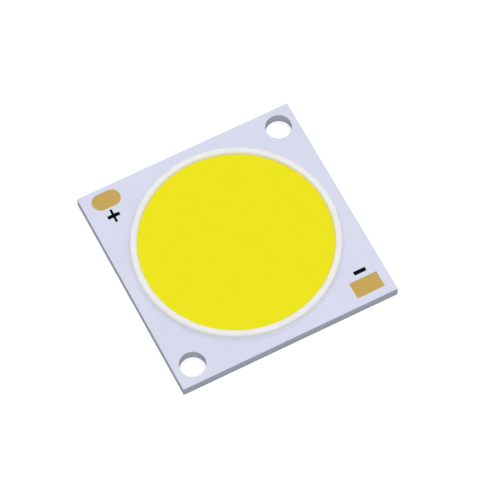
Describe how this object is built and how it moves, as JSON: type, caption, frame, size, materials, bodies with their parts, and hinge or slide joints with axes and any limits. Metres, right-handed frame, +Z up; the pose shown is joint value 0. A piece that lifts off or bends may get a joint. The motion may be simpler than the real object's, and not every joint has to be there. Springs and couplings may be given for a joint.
{
  "type": "chip-on-board led",
  "caption": "Square aluminium-backed chip-on-board light source with a domed white dam round a yellow phosphor disc, corner screw holes and gold solder pads.",
  "frame": {"origin": "centre of the board's underside", "axes": "+Z up through the board, out of its lit face; +X and +Y along the board's edges, with the positive pad at low X and high Y and the negative pad at high X and low Y"},
  "size_m": [0.028, 0.028, 0.0024],
  "materials": {
    "aluminium": "satin",
    "laminate": "matte",
    "copper": "satin",
    "white_mask": "satin",
    "gold_plating": "satin",
    "white_silicone": "satin",
    "phosphor_silicone": "satin",
    "led_chip": "gloss",
    "gold_wire": "polished",
    "black_ink": "matte"
  },
  "bodies": {
    "root": {"aluminium_base": "aluminium", "dielectric_layer": "laminate", "positive_trace": "copper", "negative_trace": "copper", "solder_mask": "white_mask", "positive_pad": "gold_plating", "negative_pad": "gold_plating", "positive_land": "gold_plating", "negative_land": "gold_plating", "dam_ring": "white_silicone", "phosphor_fill": "phosphor_silicone", "chip_string_1": "led_chip", "chip_string_2": "led_chip", "chip_string_3": "led_chip", "chip_string_4": "led_chip", "chip_string_5": "led_chip", "chip_string_6": "led_chip", "bond_wires_1": "gold_wire", "bond_wires_2": "gold_wire", "bond_wires_3": "gold_wire", "bond_wires_4": "gold_wire", "bond_wires_5": "gold_wire", "bond_wires_6": "gold_wire"}
  },
  "joints": []
}
